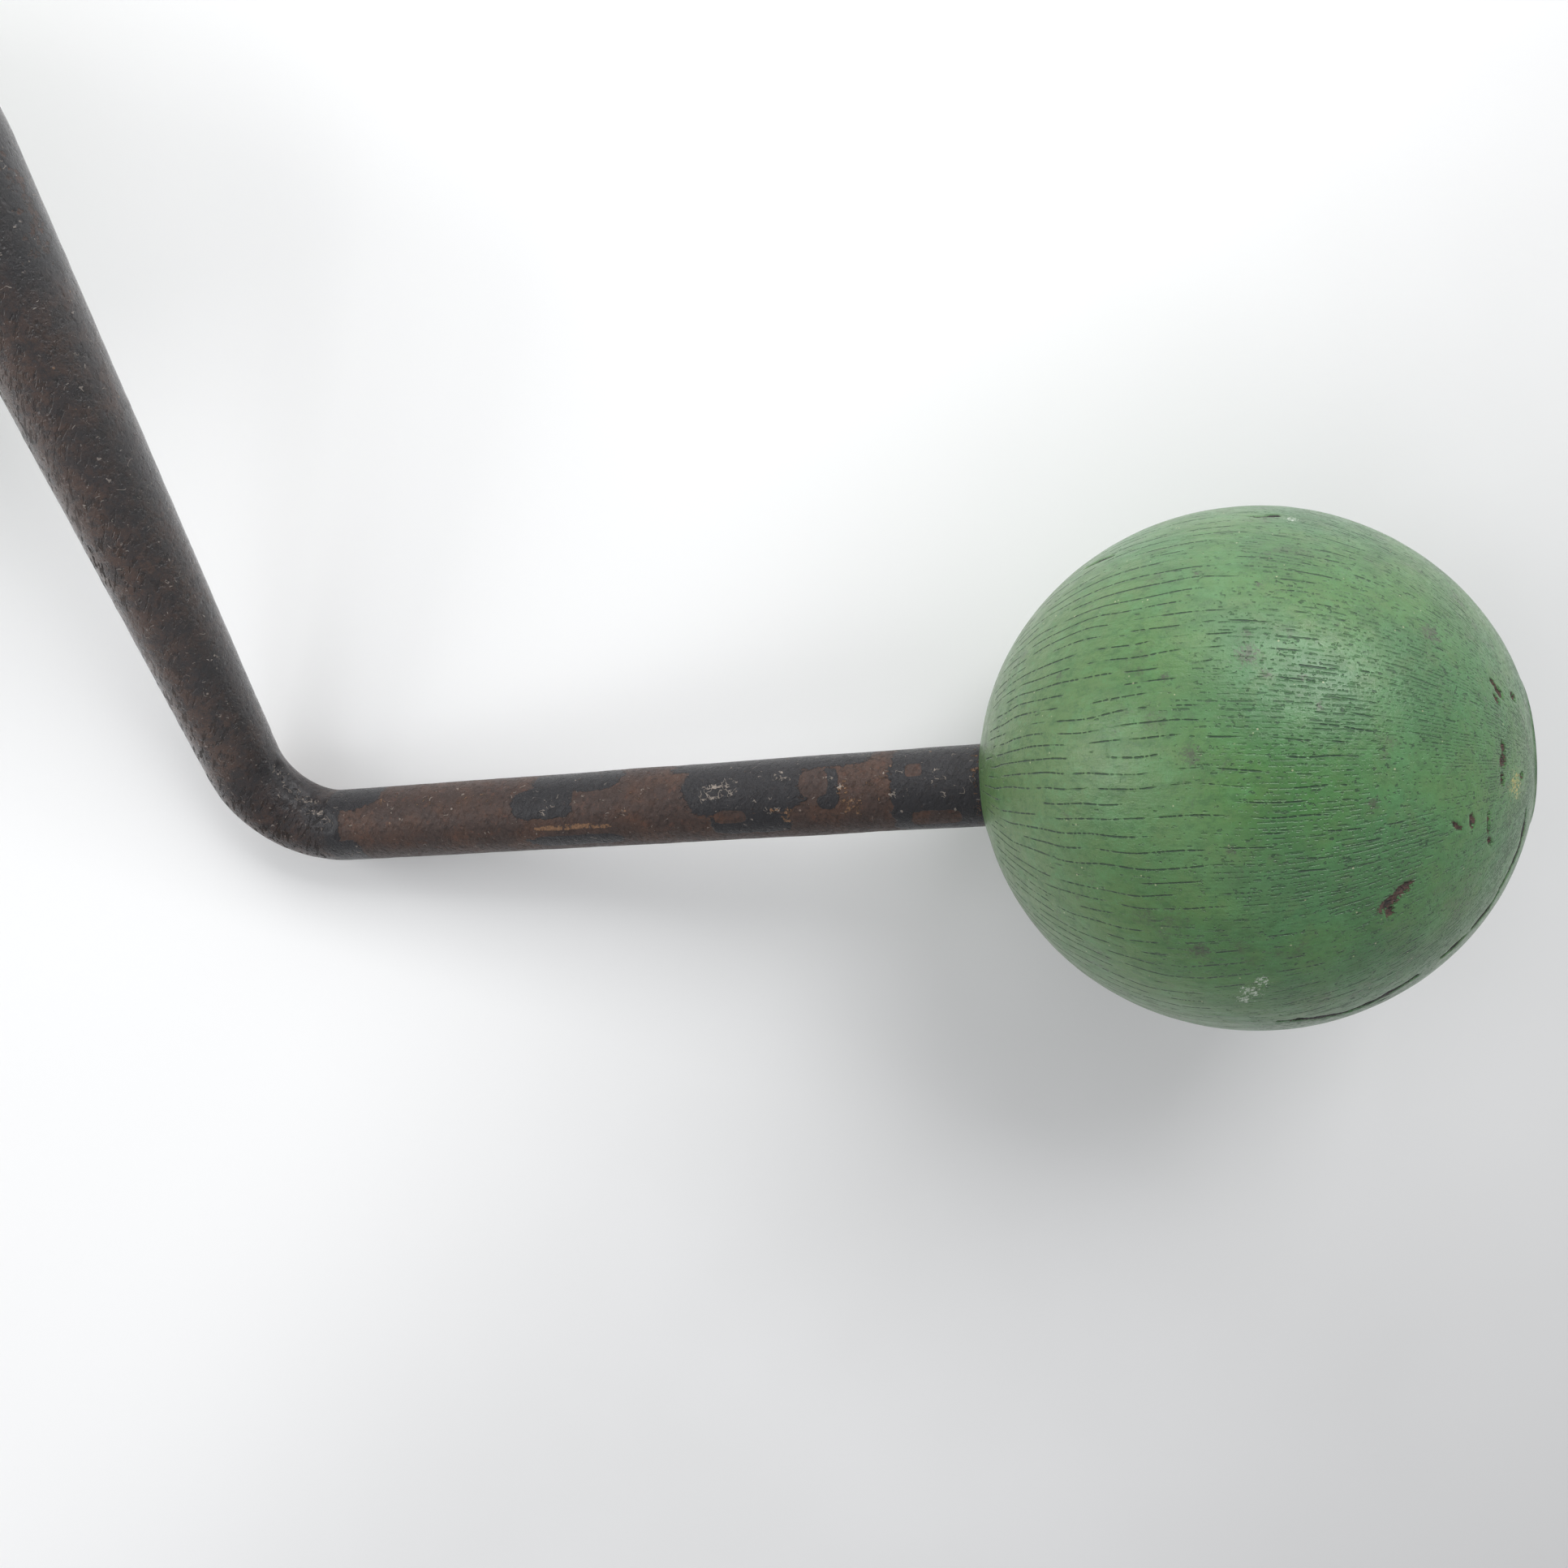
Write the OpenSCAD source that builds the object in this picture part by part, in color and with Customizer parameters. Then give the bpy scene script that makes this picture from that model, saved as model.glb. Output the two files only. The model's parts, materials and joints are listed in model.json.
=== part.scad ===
// Cranked string winder for the tuning keys of a double bass. A painted steel rod with two bends
// carries a drive cup at one end, which goes over a key, and a free-spinning ball knob at the other.
// The winder lies on a table at z = 0, touching it with the ball, the handle bend and the cup's rim.

/* [Rod] */
// Diameter of the handle leg that leads to the knob
leg_d = 8; // [7.5:0.5:9]
// Distance from the handle corner to the centre of the ball
leg_length = 104; // [95:1:115]
// Distance between the two corners, the throw of the crank
arm_length = 84; // [78:1:92]
// Angle between the leg and the arm
arm_angle = 88; // [84:1:92]
// Diameter of the shank, which the arm widens to
shank_d = 11; // [10:0.5:12]
// Distance from the shank corner to the shoulder that the cup sits on
shank_length = 20; // [18:1:24]
// Centreline radius of the handle bend
handle_bend_r = 9; // [8:0.5:12]
// Centreline radius of the shank bend
shank_bend_r = 12; // [10:0.5:14]

/* [Knob] */
// Diameter of the wooden ball
ball_d = 47; // [44:1:50]
// Diameter of the spindle that the ball spins on
spindle_d = 6; // [5:0.5:6]
// Diameter of the hole right through the ball
ball_bore_d = 8.8; // [8.8:0.1:9.2]
// Diameter of the counterbore that holds the screw and the plug
counterbore_d = 14; // [13.5:0.5:16]
// Depth of the flat worn on the far pole
pole_flat = 0.4; // [0.2:0.1:0.8]
// Radial clearance of the spindle in its bushes
running_gap = 0.05; // [0.02:0.01:0.08]
// Axial clearance at each end of the bushes
end_float = 0.2; // [0.1:0.05:0.3]

/* [Cup] */
// Outer diameter of the drive cup
cup_d = 48; // [44:1:50]
// Length of the cup
cup_length = 46; // [44:1:52]
// Diameter of the bore that a key goes into
key_bore_d = 34; // [30:1:36]
// Depth of the bore
key_bore_depth = 24; // [20:1:26]
// Width of the slot across the mouth
slot_w = 8; // [7:0.5:9]
// Depth of the slot
slot_depth = 21; // [15:1:22]
// Radius on the outer edge of the rim
rim_r = 2; // [1:0.5:3]
// Diameter of the cross pin that keys the cup to the rod
cross_pin_d = 3; // [2.5:0.5:3.5]

/* [Hidden] */
$fn = 96;
far = 60;      // longer than any cut has to be
skin = 1;      // how far a cut starts outside the face that it opens
lap = 0.1;     // how far the rod's straight stretches run into its bends, which are thicker by it

// Corners and tangent lengths of the rod, which lies in the XY plane with its leg along +X
bend_angle = 180 - arm_angle;
handle_tangent = handle_bend_r * tan(bend_angle / 2);
shank_tangent = shank_bend_r * tan(bend_angle / 2);
shank_corner = arm_length * [cos(arm_angle), sin(arm_angle), 0];

// Stations along the leg axis, counted from the centre of the ball
shoulder_at = -17;
thrust_washer_t = 0.8;
inner_bush_at = shoulder_at + thrust_washer_t + end_float;
inner_bush_length = 10;
outer_bush_at = 0;
counterbore_at = 9;
flange_t = 1.2;
end_washer_at = counterbore_at + flange_t + end_float;
end_washer_t = 1.2;
screw_head_at = end_washer_at + end_washer_t;
screw_head_t = 2.6;
plug_at = 16;

// Diameters inside the ball
bush_bore_d = spindle_d + 2 * running_gap;
thrust_washer_d = ball_bore_d - 0.4;
flange_d = counterbore_d - 1;
end_washer_d = counterbore_d - 2;
screw_d = 4;
screw_hole_d = 4.3;
screw_head_d = 8;
screw_length = 10;
screw_slot_w = 1.2;
screw_slot_depth = 1.3;

// Stations along the cup's axis, counted from its mouth
washer_t = 1.5;
pad_t = 2;
nut_t = 6;
nut_af = 13;
pad_d = key_bore_d - 4;
nut_bore_d = 20;
nut_bore_depth = washer_t + nut_t + 1;
hub_at = key_bore_depth + pad_t + nut_bore_depth;
neck_d = 26;
neck_length = 10;
shoulder_r = cup_length - neck_length - key_bore_depth - pad_t;
ferrule_length = 9;
ferrule_t = 1.2;
cross_pin_at = cup_length - ferrule_length / 2;
cross_pin_length = neck_d + 2 * ferrule_t + 0.4;
groove_at = 19;
groove_r = 0.7;
mouth_chamfer = 1;
spigot_d = 8;
spigot_length = washer_t + cup_length - hub_at + washer_t + nut_t;
washer_d = 18;
inner_washer_d = 17;
washer_hole_d = 8.4;
cup_reach = shank_length + washer_t + cup_length;

// The resting pose. up = [ux, uy, uz] is the table's normal in the rod's own frame, where a point's
// height is up * point + lift. Each contact gives one equation, and ux and uy are found by iteration.
handle_centre = [handle_tangent, handle_bend_r, 0];
mouth_centre = shank_corner - [cup_reach, 0, 0];
rim_centre = mouth_centre + [rim_r, 0, 0];
rim_ring_r = cup_d / 2 - rim_r;
function contact_up(ux, uy, steps) = steps == 0 ? [ux, uy, sqrt(1 - ux * ux - uy * uy)] :
    let (bend = handle_bend_r * norm([ux, uy]) + (leg_d + lap - ball_d) / 2,
         rim = rim_ring_r * sqrt(1 - ux * ux) + rim_r - ball_d / 2,
         bx = handle_centre.x - leg_length,
         rx = rim_centre.x - leg_length,
         det = bx * rim_centre.y - rx * handle_centre.y)
    contact_up((bend * rim_centre.y - rim * handle_centre.y) / det, (bx * rim - rx * bend) / det,
        steps - 1);
up = contact_up(0.2, 0.4, 30);
pitch = asin(up.x);
roll = atan2(up.y, up.z);
lift = ball_d / 2 - up.x * leg_length;

// Middle of the resting winder's outline on the table
ball_x = leg_length * cos(pitch);
mouth_x = mouth_centre.x * cos(pitch) - mouth_centre.y * sin(pitch) * sin(roll);
high_x = ball_x + ball_d / 2;
low_x = mouth_x + rim_r * cos(pitch) - rim_ring_r * sin(pitch) - rim_r;
high_y = mouth_centre.y * cos(roll) + cup_d / 2;
low_y = -ball_d / 2;
middle = [(low_x + high_x) / 2, (low_y + high_y) / 2, -lift];

// Puts a piece that is drawn in the rod's frame into its resting place
module at_rest() {
    translate(-middle) rotate([roll, -pitch, 0]) children();
}

// Leg axis as +Z, with its zero at the centre of the ball
module on_knob() {
    at_rest() translate([leg_length, 0, 0]) rotate([0, 90, 0]) children();
}

// Cup axis as +Z, pointing out of the mouth, with its zero at the mouth. Local X points up and
// local Y lies level, so the slot is level.
module on_cup() {
    at_rest() translate(mouth_centre) rotate([-roll, 0, 0]) rotate([0, -90, 0]) children();
}

// Cylinder from one station to another along Z
module bar(from, to, d) {
    translate([0, 0, from]) cylinder(d = d, h = to - from);
}

// Washer or bush from one station to another along Z
module ring(from, to, outer_d, inner_d) {
    difference() {
        bar(from, to, outer_d);
        bar(from - skin, to + skin, inner_d);
    }
}

// Bend at a corner, from the leg along +X round to the arm
module rod_bend(radius, tangent, d) {
    translate([tangent, radius, 0]) rotate([0, 0, arm_angle + 90])
        rotate_extrude(angle = bend_angle) translate([radius, 0]) circle(d = d + lap);
}

module arm_taper() {
    straight = arm_length - handle_tangent - shank_tangent;
    rotate([0, 0, arm_angle]) translate([handle_tangent - lap, 0, 0]) rotate([0, 90, 0])
        cylinder(d1 = leg_d, d2 = shank_d, h = straight + 2 * lap);
}

module leg_and_spindle() {
    rotate([0, 90, 0]) {
        bar(handle_tangent - lap, leg_length + shoulder_at, leg_d);
        bar(leg_length + shoulder_at - skin, leg_length + end_washer_at, spindle_d);
    }
}

module shank_and_spigot() {
    rotate([0, 90, 0]) {
        bar(shank_tangent - lap, shank_length, shank_d);
        bar(shank_length - skin, shank_length + spigot_length, spigot_d);
    }
}

module crank_rod() {
    color("dimgray") at_rest() difference() {
        union() {
            leg_and_spindle();
            rod_bend(handle_bend_r, handle_tangent, leg_d);
            arm_taper();
            translate(shank_corner) rotate([0, 0, 180]) {
                rod_bend(shank_bend_r, shank_tangent, shank_d);
                shank_and_spigot();
            }
        }
        translate([leg_length + screw_head_at - screw_length, 0, 0]) rotate([0, 90, 0])
            cylinder(d = screw_d, h = far);
        translate(mouth_centre) rotate([-roll, 0, 0]) rotate([0, -90, 0]) cross_pin_hole();
    }
}

module ball_knob() {
    color("darkseagreen") on_knob() difference() {
        sphere(d = ball_d);
        bar(-far, far, ball_bore_d);
        bar(counterbore_at, far, counterbore_d);
    }
}

module knob_end_plug() {
    color("seagreen") on_knob() intersection() {
        sphere(d = ball_d);
        bar(plug_at, ball_d / 2 - pole_flat, counterbore_d);
    }
}

module knob_inner_bush() {
    color("goldenrod") on_knob()
        ring(inner_bush_at, inner_bush_at + inner_bush_length, ball_bore_d, bush_bore_d);
}

module knob_outer_bush() {
    color("goldenrod") on_knob() {
        ring(outer_bush_at, counterbore_at, ball_bore_d, bush_bore_d);
        ring(counterbore_at, counterbore_at + flange_t, flange_d, bush_bore_d);
    }
}

module knob_thrust_washer() {
    color("silver") on_knob()
        ring(shoulder_at, shoulder_at + thrust_washer_t, thrust_washer_d, spindle_d);
}

module knob_end_washer() {
    color("silver") on_knob()
        ring(end_washer_at, end_washer_at + end_washer_t, end_washer_d, screw_hole_d);
}

module knob_screw() {
    color("silver") on_knob() difference() {
        union() {
            bar(screw_head_at - screw_length, screw_head_at, screw_d);
            bar(screw_head_at, screw_head_at + screw_head_t, screw_head_d);
        }
        translate([-far / 2, -screw_slot_w / 2, screw_head_at + screw_head_t - screw_slot_depth])
            cube([far, screw_slot_w, far]);
    }
}

// Outside of the cup as turned, solid
module cup_outline() {
    rotate_extrude() {
        translate([0, -cup_length + neck_length + shoulder_r])
            square([cup_d / 2, cup_length - neck_length - shoulder_r - rim_r]);
        translate([0, -rim_r]) square([rim_ring_r, rim_r]);
        intersection() {
            translate([rim_ring_r, -rim_r]) circle(r = rim_r);
            translate([0, -far]) square(far);
        }
        translate([0, -cup_length + neck_length]) square([cup_d / 2 - shoulder_r, shoulder_r + skin]);
        intersection() {
            translate([cup_d / 2 - shoulder_r, -cup_length + neck_length + shoulder_r])
                circle(r = shoulder_r);
            translate([0, -far]) square(far);
        }
        translate([0, -cup_length]) square([neck_d / 2, neck_length + skin]);
    }
}

module cross_pin_hole() {
    translate([-far / 2, 0, -cross_pin_at]) rotate([0, 90, 0]) cylinder(d = cross_pin_d, h = far);
}

module cup_body() {
    color("darkseagreen") on_cup() difference() {
        cup_outline();
        bar(-key_bore_depth, far, key_bore_d);
        translate([0, 0, -mouth_chamfer])
            cylinder(d1 = key_bore_d, d2 = key_bore_d + 4 * mouth_chamfer, h = 2 * mouth_chamfer);
        bar(-key_bore_depth - pad_t, 0, pad_d);
        bar(-hub_at, 0, nut_bore_d);
        bar(-far, 0, spigot_d);
        translate([-slot_w / 2, -far / 2, -slot_depth]) cube([slot_w, far, far]);
        rotate_extrude() translate([cup_d / 2, -groove_at]) circle(r = groove_r);
        cross_pin_hole();
    }
}

module cup_ferrule() {
    color("silver") on_cup() difference() {
        ring(-cup_length, ferrule_length - cup_length, neck_d + 2 * ferrule_t, neck_d);
        cross_pin_hole();
    }
}

module cup_shoulder_washer() {
    color("silver") on_cup() ring(-cup_length - washer_t, -cup_length, washer_d, washer_hole_d);
}

module cup_inner_washer() {
    color("silver") on_cup() ring(-hub_at, -hub_at + washer_t, inner_washer_d, washer_hole_d);
}

module cup_nut() {
    color("silver") on_cup() translate([0, 0, -hub_at + washer_t]) difference() {
        cylinder(d = nut_af / cos(30), h = nut_t, $fn = 6);
        bar(-skin, nut_t + skin, spigot_d);
    }
}

module cup_cross_pin() {
    color("silver") on_cup() translate([-cross_pin_length / 2, 0, -cross_pin_at])
        rotate([0, 90, 0]) cylinder(d = cross_pin_d, h = cross_pin_length);
}

module cup_pad() {
    color("saddlebrown") on_cup() bar(-key_bore_depth - pad_t, -key_bore_depth, pad_d);
}

crank_rod();
ball_knob();
knob_end_plug();
knob_inner_bush();
knob_outer_bush();
knob_thrust_washer();
knob_end_washer();
knob_screw();
cup_body();
cup_ferrule();
cup_shoulder_washer();
cup_inner_washer();
cup_nut();
cup_cross_pin();
cup_pad();
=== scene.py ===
import json
import math

import bpy
import numpy as np
from mathutils import Euler, Matrix, Vector


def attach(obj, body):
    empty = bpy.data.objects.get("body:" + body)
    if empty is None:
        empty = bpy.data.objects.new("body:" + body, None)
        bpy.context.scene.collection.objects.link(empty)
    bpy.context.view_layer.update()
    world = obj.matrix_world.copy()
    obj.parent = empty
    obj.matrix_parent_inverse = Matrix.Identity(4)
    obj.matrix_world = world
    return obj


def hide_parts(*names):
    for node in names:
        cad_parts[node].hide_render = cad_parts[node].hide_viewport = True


# Looks of a cranked string winder: a worn steel rod with two bends, a painted wooden ball knob at
# one end and a painted wooden drive cup at the other. Lengths named below are in millimetres.

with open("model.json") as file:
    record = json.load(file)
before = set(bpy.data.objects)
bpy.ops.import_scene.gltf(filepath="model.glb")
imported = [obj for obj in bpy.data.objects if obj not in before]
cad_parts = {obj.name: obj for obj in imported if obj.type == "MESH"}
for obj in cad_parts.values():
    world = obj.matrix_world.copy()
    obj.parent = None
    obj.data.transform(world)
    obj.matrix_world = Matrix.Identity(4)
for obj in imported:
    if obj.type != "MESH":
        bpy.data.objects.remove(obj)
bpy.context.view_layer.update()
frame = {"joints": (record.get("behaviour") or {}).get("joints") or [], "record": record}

MM = 0.001

# Rod
LEG_D = 8.0
LEG_LENGTH = 104.0
ARM_LENGTH = 84.0
ARM_ANGLE = math.radians(88)
SHANK_D = 11.0
SHANK_LENGTH = 20.0
HANDLE_BEND_R = 9.0
SHANK_BEND_R = 12.0
SPINDLE_D = 6.0
SPIGOT_D = 8.0
SPIGOT_LENGTH = 20.5

# Knob, with stations along the leg axis counted from the centre of the ball
BALL_R = 23.5
BALL_BORE_R = 4.4
COUNTERBORE_R = 7.0
COUNTERBORE_AT = 9.0
SHOULDER_AT = -17.0
SPINDLE_END = 10.4
BUSH_BORE_R = 3.05
SCREW_R = 2.0
SCREW_HEAD_R = 4.0
SCREW_HEAD_FROM = 11.6
SCREW_HEAD_TO = 13.0
PLUG_AT = 16.0
POLE_FLAT = 0.4
GRAIN_TILT = math.radians(16)

# Cup, with stations along its axis counted from the mouth
CUP_R = 24.0
CUP_LENGTH = 46.0
KEY_BORE_R = 17.0
KEY_BORE_DEPTH = 24.0
MOUTH_CHAMFER = 1.0
GROOVE_AT = -19.0
SLOT_W = 8.0
SLOT_DEPTH = 21.0
NECK_R = 13.0
NECK_LENGTH = 10.0
FERRULE_LENGTH = 9.0
FERRULE_T = 1.2
CROSS_PIN_D = 3.0
PAD_R = 15.0
PAD_FROM = -26.0
HUB_R = 10.0
HUB_FROM = -34.5
NUT_FROM = -33.0
NUT_TO = -27.0
NUT_ACROSS_FLATS = 13.0
CUP_WASHER_BORE_R = 4.2

joint = frame["joints"][0]
key_cup = next(m for m in frame["record"]["mounts"] if m["name"] == "key_cup")
KNOB = Vector(joint["pos_m"])
LEG = Vector(joint["axis"]).normalized()
SIDE = Vector((0, 1, 0))
TOP = LEG.cross(SIDE)
MOUTH = Vector(key_cup["pos_m"]) - LEG * MM * (key_cup["dims"]["length_mm"] / 2 + MOUTH_CHAMFER)
offset = MOUTH - KNOB
ARMWARD = (offset - LEG * offset.dot(LEG)).normalized()
PLANE_NORMAL = LEG.cross(ARMWARD)
CORNER = KNOB - LEG * LEG_LENGTH * MM


def axes(x, y, z, origin):
    """Matrix of a local frame from its three axes and origin, in the row frame."""
    m = Matrix((x, y, z)).transposed().to_4x4()
    m.translation = origin
    return m


KNOB_FRAME = axes(SIDE, TOP, LEG, KNOB)
CUP_FRAME = axes(TOP, SIDE, -LEG, MOUTH)
ROD_FRAME = axes(LEG, ARMWARD, PLANE_NORMAL, CORNER)
PIN_PLACE = Matrix.Translation(Vector((0, 0, FERRULE_LENGTH / 2 - CUP_LENGTH)) * MM)
PIN_FRAME = CUP_FRAME @ (PIN_PLACE @ Matrix.Rotation(math.pi / 2, 4, "Y"))


# ---- noise for the meshes


def lattice_noise(points, cell, seed):
    """Smooth value noise from -1 to 1 at each point, with features of about cell millimetres."""
    rng = np.random.default_rng(seed)
    table = rng.uniform(-1, 1, 4096)
    p = np.asarray(points) / cell
    base = np.floor(p).astype(np.int64)
    t = p - base
    t = t * t * (3 - 2 * t)
    total = np.zeros(len(p))
    for corner in range(8):
        step = np.array([corner & 1, corner >> 1 & 1, corner >> 2 & 1])
        c = base + step
        index = (c[:, 0] * 73856093 ^ c[:, 1] * 19349663 ^ c[:, 2] * 83492791) & 4095
        weight = np.prod(np.where(step, t, 1 - t), axis=1)
        total += table[index] * weight
    return total


def bell(value, width):
    """1 where value is 0, falling off to 0 on both sides over about twice the width."""
    return np.exp(-((value / width) ** 2))


def rough(points, cell, seed):
    """Three octaves of lattice_noise, each half as wide and half as high."""
    total = np.zeros(len(points))
    for octave in range(3):
        total += lattice_noise(points, cell / 2**octave, seed + octave) / 2**octave
    return total


# ---- mesh helpers


def to_row(vertices, matrix):
    """Points in millimetres of a local frame, as metres in the row frame."""
    m = np.array(matrix)
    return vertices @ m[:3, :3].T * MM + m[:3, 3]


def new_object(name, data):
    """Puts a new object into the scene."""
    made = bpy.data.objects.new(name, data)
    bpy.context.scene.collection.objects.link(made)
    return made


def new_mesh(name, vertices, faces, matrix):
    """A mesh object whose points are given in millimetres of a local frame."""
    mesh = bpy.data.meshes.new(name)
    mesh.from_pydata(to_row(np.asarray(vertices), matrix).tolist(), [], faces)
    mesh.validate()
    return new_object(name, mesh)


def shade(mesh, smooth):
    mesh.polygons.foreach_set("use_smooth", [smooth] * len(mesh.polygons))


def store(mesh, fields):
    """Stores numbers on a mesh's points, for the materials to read by name."""
    for name, values in fields.items():
        layer = mesh.attributes.new(name, "FLOAT", "POINT")
        layer.data.foreach_set("value", np.asarray(values, np.float32))


def new_piece(node, kind, vertices, faces, matrix, body, look, fields=None):
    """Makes a smooth-shaded piece that rides on a body and stands for a CAD node.

    Its name is the node's and its kind. look is its material and a slot name, which is not used."""
    material, slot = look
    piece = new_mesh(node + "_" + kind, vertices, faces, matrix)
    shade(piece.data, True)
    store(piece.data, fields or {})
    piece.data.materials.append(material)
    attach(piece, body)
    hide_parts(node)
    return piece


def turned(node, profile, matrix, body, look, segments=96):
    """A small turned part."""
    return new_piece(node, "turned", *lathe(profile, segments), matrix, body, look)


def circle(segments):
    """Angles of the points of a ring."""
    return np.linspace(0, 2 * math.pi, segments, endpoint=False)


def grid_faces(rings, segments, closed_rings=False):
    """Quads between rings of segments points each. closed_rings joins the last ring to the first."""
    faces = []
    for i in range(rings if closed_rings else rings - 1):
        a, b = i * segments, (i + 1) % rings * segments
        for j in range(segments):
            k = (j + 1) % segments
            faces.append((a + j, a + k, b + k, b + j))
    return faces


def tube_faces(rings, segments):
    """grid_faces with a flat cap on the first and last ring."""
    last = (rings - 1) * segments
    caps = [tuple(reversed(range(segments))), tuple(range(last, last + segments))]
    return grid_faces(rings, segments) + caps


def lathe(profile, segments):
    """Vertices and faces of a profile of (radius, height) points turned about local Z.

    A profile that starts and ends on the axis is capped there. Any other one is a closed loop."""
    angle = circle(segments)
    capped = profile[0][0] == 0
    rings = profile[1:-1] if capped else profile
    r, z = np.array(rings).T
    ring = np.stack([np.cos(angle), np.sin(angle), np.zeros(segments)], 1)
    vertices = (r[:, None, None] * ring + z[:, None, None] * np.array([0, 0, 1.0])).reshape(-1, 3)
    faces = grid_faces(len(rings), segments, closed_rings=not capped)
    if capped:
        first, last, tail = len(vertices), len(vertices) + 1, len(vertices) - segments
        vertices = np.concatenate([vertices, [(0, 0, profile[0][1]), (0, 0, profile[-1][1])]])
        faces += [(first, (j + 1) % segments, j) for j in range(segments)]
        faces += [(last, tail + j, tail + (j + 1) % segments) for j in range(segments)]
    outline_r, outline_z = np.array(profile).T
    area = np.sum(outline_r * np.roll(outline_z, -1) - np.roll(outline_r, -1) * outline_z)
    if area < 0:
        faces = [tuple(reversed(face)) for face in faces]
    return vertices, faces


def arc(centre, radius, start, end, steps):
    """Points of an arc in degrees, both ends included."""
    angle = np.radians(np.linspace(start, end, steps))
    return [(centre[0] + radius * math.cos(a), centre[1] + radius * math.sin(a)) for a in angle]


def stretch(a, b, gap):
    """Points from a to b no further apart than gap, without b."""
    count = max(1, math.ceil(math.dist(a, b) / gap))
    (x, y), (x1, y1) = a, b
    return [(x + (x1 - x) * i / count, y + (y1 - y) * i / count) for i in range(count)]


def ring_profile(inner, outer, low, high, edge=0.2):
    """Closed profile of a ring with rounded edges, for lathe()."""
    left, right, bottom, top = inner + edge, outer - edge, low + edge, high - edge
    corners = ((right, bottom), (right, top), (left, top), (left, bottom))
    return [p for i, corner in enumerate(corners) for p in arc(corner, edge, 90 * i - 90, 90 * i, 4)]


def cut(piece, *cutters):
    """Takes the cutters out of a piece and removes them."""
    for cutter in cutters:
        modifier = piece.modifiers.new("cut", "BOOLEAN")
        modifier.operation = "DIFFERENCE"
        modifier.solver = "EXACT"
        modifier.object = cutter
    apply_modifiers(piece)
    for cutter in cutters:
        bpy.data.objects.remove(cutter)


def apply_modifiers(piece):
    """Replaces a piece's mesh by its evaluated one and drops the modifiers."""
    graph = bpy.context.evaluated_depsgraph_get()
    mesh = bpy.data.meshes.new_from_object(piece.evaluated_get(graph))
    piece.modifiers.clear()
    piece.data = mesh


def bevel(piece, width, angle):
    """Rounds a piece's edges that are sharper than angle degrees."""
    modifier = piece.modifiers.new("edges", "BEVEL")
    modifier.width = width * MM
    modifier.segments = 3
    modifier.limit_method = "ANGLE"
    modifier.angle_limit = math.radians(angle)
    piece.modifiers.new("flat faces", "WEIGHTED_NORMAL")
    shade(piece.data, True)
    apply_modifiers(piece)


def box_cutter(low, high, matrix):
    """Box between two opposite corners."""
    (x0, y0, z0), (x1, y1, z1) = low, high
    vertices = [(x, y, z) for z in (z0, z1) for y in (y0, y1) for x in (x0, x1)]
    faces = [(0, 2, 3, 1), (4, 5, 7, 6), (0, 1, 5, 4), (2, 6, 7, 3), (0, 4, 6, 2), (1, 3, 7, 5)]
    return new_mesh("cutter", vertices, faces, matrix)


def rod_cutter(radius, low, high, matrix):
    """Cylinder along local Z from low to high."""
    count = 48
    ring = [(radius * math.cos(a), radius * math.sin(a)) for a in circle(count)]
    vertices = [(x, y, z) for z in (low, high) for x, y in ring]
    return new_mesh("cutter", vertices, tube_faces(2, count), matrix)


# ---- material helpers


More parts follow.
